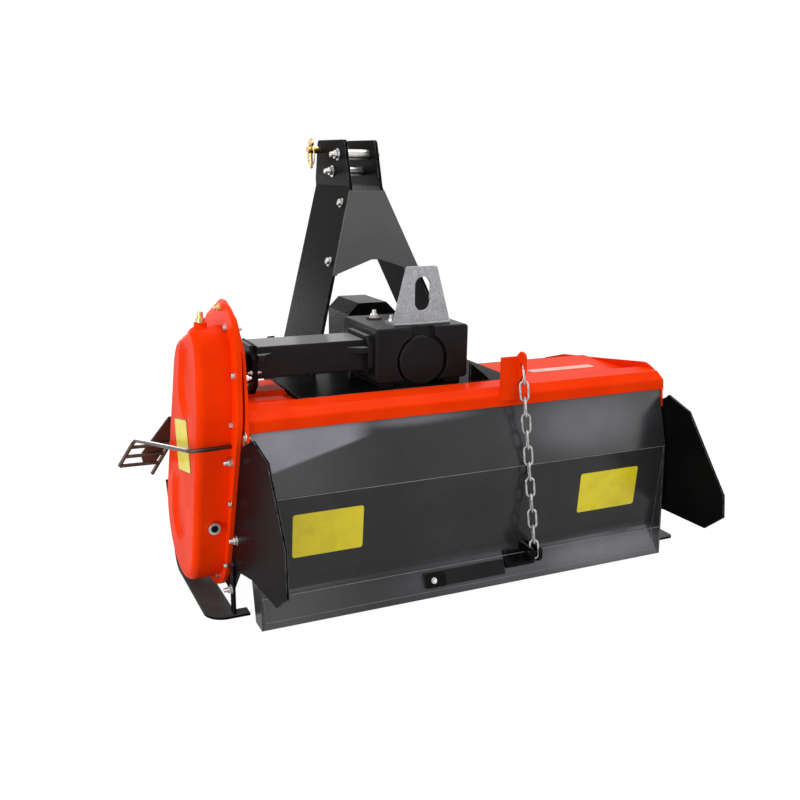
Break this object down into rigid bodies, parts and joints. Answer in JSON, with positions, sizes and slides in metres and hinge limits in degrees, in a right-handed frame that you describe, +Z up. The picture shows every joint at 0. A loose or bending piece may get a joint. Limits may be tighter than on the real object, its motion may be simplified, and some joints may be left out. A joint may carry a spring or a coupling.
{
  "type": "rotavator",
  "caption": "Three-point-hitch rotary tiller: hooded rotor with L-shaped tines, side chain case, gearbox, mast and hinged rear board on a chain.",
  "frame": {"origin": "middle of the footprint, on the ground", "axes": "+X to the right seen from behind, +Y forwards to the tractor, +Z up"},
  "size_m": [1.3768, 0.972, 1.027],
  "materials": {
    "orange_paint": "glossy orange-red paint",
    "black_paint": "satin black paint",
    "grey_paint": "semi-gloss dark grey paint",
    "black_casting": "painted black over a casting",
    "zinc_plate": "zinc plated",
    "chain_steel": "dull zinc plated",
    "brass": "yellow passivated"
  },
  "bodies": {
    "frame": {"axle_tube": "black_paint", "axle_tube_flange": "black_paint", "board_chain": "chain_steel", "breather": "brass", "chain_bracket": "orange_paint", "chain_case_back": "orange_paint", "chain_case_cover": "orange_paint", "drive_guard": "black_paint", "front_beam": "black_paint", "gearbox_housing": "black_casting", "gearbox_rear_cap": "black_casting", "hinge_rod": "zinc_plate", "hood": "orange_paint", "left_hitch_pin": "zinc_plate", "left_hitch_plate": "black_paint", "left_side_flap": "black_paint", "left_side_plate": "orange_paint", "left_skid": "black_paint", "level_plug": "zinc_plate", "lifting_lug": "zinc_plate", "mast_cover": "grey_paint", "mast_left_leg": "black_paint", "mast_right_leg": "black_paint", "mast_spacers": "zinc_plate", "right_hitch_pin": "zinc_plate", "right_hitch_plate": "black_paint", "right_side_flap": "black_paint", "right_side_plate": "orange_paint", "right_skid": "black_paint", "rotor_bearing": "black_casting", "saddle": "black_paint", "side_guard": "black_paint", "top_link_pin": "brass"},
    "rotor": {"rotor_tube": "black_paint", "tine_ring_1": "black_paint", "tine_ring_2": "black_paint", "tine_ring_3": "black_paint", "tine_ring_4": "black_paint", "tine_ring_5": "black_paint", "tine_ring_6": "black_paint"},
    "drive": {"input_shaft": "zinc_plate"},
    "board": {"board_knuckles": "black_paint", "board_strap": "black_paint", "chain_anchor": "black_paint", "rear_board": "grey_paint"}
  },
  "joints": [
    {"name": "rotor_spin", "type": "hinge", "parent": "frame", "child": "rotor", "pos_m": [0.02695, 0.046, 0.178], "axis": [1, 0, 0], "continuous": true},
    {"name": "input_spin", "type": "hinge", "parent": "frame", "child": "drive", "pos_m": [-0.04455, 0.156, 0.541], "axis": [0, 1, 0], "continuous": true},
    {"name": "board_hinge", "type": "hinge", "parent": "frame", "child": "board", "pos_m": [0.02695, -0.206, 0.434], "axis": [-1, 0, 0], "range_deg": [0, 45], "deforming": ["board_chain"]}
  ],
  "couplings": [
    {"joint": "input_spin", "follows": "rotor_spin", "ratio": 2.5714}
  ]
}
